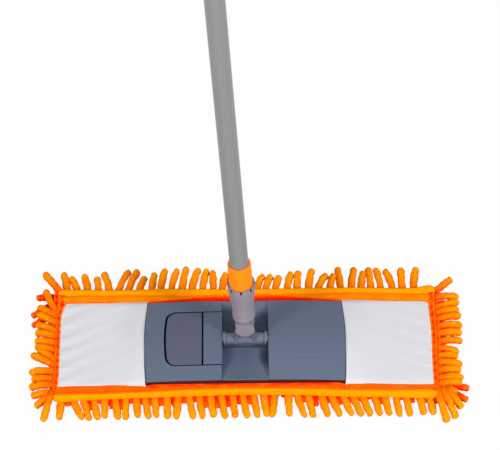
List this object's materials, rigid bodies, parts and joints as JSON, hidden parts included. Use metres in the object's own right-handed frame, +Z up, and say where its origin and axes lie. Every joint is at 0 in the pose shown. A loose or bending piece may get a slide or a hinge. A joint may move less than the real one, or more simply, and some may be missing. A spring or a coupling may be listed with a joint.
{
  "type": "flat mop",
  "caption": "Flat floor mop: folding plastic frame in a chenille pad with cloth pockets, a two-axis handle joint and a telescopic handle with a hanging eye.",
  "frame": {"origin": "on the floor under the middle of the pad, below the handle joint", "axes": "+X along the pad, away from the pedal; +Y away from the user; +Z up"},
  "size_m": [0.4812, 0.2065, 0.8585],
  "materials": {
    "frame_plastic": "moulded polypropylene, fine matt grain",
    "pedal_plastic": "moulded polypropylene, fine matt grain",
    "joint_plastic": "moulded warm grey plastic, satin",
    "tee_plastic": "moulded blue-grey plastic, satin",
    "collar_plastic": "moulded orange plastic, satin gloss",
    "tube_enamel": "grey enamel on thin steel tube",
    "inner_tube_enamel": "grey enamel on thin steel tube",
    "pin_steel": "drawn steel wire",
    "spring_steel": "rolled spring steel",
    "lock_plastic": "moulded plastic",
    "grip_plastic": "moulded soft plastic",
    "pocket_cloth": "plain white polyester cloth",
    "backing_cloth": "plain orange polyester backing",
    "binding_cloth": "folded orange binding tape",
    "chenille": "orange microfibre chenille"
  },
  "bodies": {
    "right_side": {"right_half": "frame_plastic", "fold_pin": "pin_steel", "tilt_axle": "pin_steel", "pad_backing_right": "backing_cloth", "pad_backing_middle": "backing_cloth", "chenille_right": "chenille", "chenille_middle": "chenille", "binding_right": "binding_cloth", "binding_middle": "binding_cloth", "pocket_right": "pocket_cloth"},
    "left_side": {"left_half": "frame_plastic", "pedal_spring": "spring_steel", "pad_backing_left": "backing_cloth", "chenille_left": "chenille", "binding_left": "binding_cloth", "pocket_left": "pocket_cloth"},
    "pedal_body": {"pedal": "pedal_plastic"},
    "joint_body": {"cross_joint": "tee_plastic"},
    "handle_body": {"handle_socket": "joint_plastic", "sway_pin": "pin_steel", "collar": "collar_plastic", "lower_tube": "tube_enamel", "lock_collet": "lock_plastic"},
    "nut_body": {"lock_nut": "lock_plastic"},
    "upper_body": {"upper_tube": "inner_tube_enamel", "tube_guide": "lock_plastic", "grip": "grip_plastic", "hang_cap": "collar_plastic"}
  },
  "joints": [
    {"name": "frame_fold", "type": "hinge", "parent": "right_side", "child": "left_side", "pos_m": [-0.035, 0, 0.0195], "axis": [0, -1, 0], "range_deg": [0, 90], "deforming": ["chenille_middle", "pad_backing_middle", "binding_middle"]},
    {"name": "pedal_press", "type": "hinge", "parent": "left_side", "child": "pedal_body", "pos_m": [-0.08, 0, 0.023], "axis": [0, 1, 0], "range_deg": [0, 7], "stiffness_Nm_per_rad": 3.6, "springref_deg": -5.73, "deforming": ["pedal_spring"]},
    {"name": "handle_tilt", "type": "hinge", "parent": "right_side", "child": "joint_body", "pos_m": [0, 0, 0.027], "axis": [1, 0, 0], "range_deg": [-67, 77]},
    {"name": "handle_sway", "type": "hinge", "parent": "joint_body", "child": "handle_body", "pos_m": [0, 0.00183, 0.04792], "axis": [0, 0.9962, -0.0872], "range_deg": [-41.9, 48.1]},
    {"name": "lock_twist", "type": "hinge", "parent": "handle_body", "child": "nut_body", "pos_m": [0, 0.00183, 0.04792], "axis": [-0.0541, 0.087, 0.9947], "range_deg": [0, 90]},
    {"name": "handle_extend", "type": "slide", "parent": "handle_body", "child": "upper_body", "axis": [-0.0541, 0.087, 0.9947], "range_m": [0, 0.5]}
  ]
}
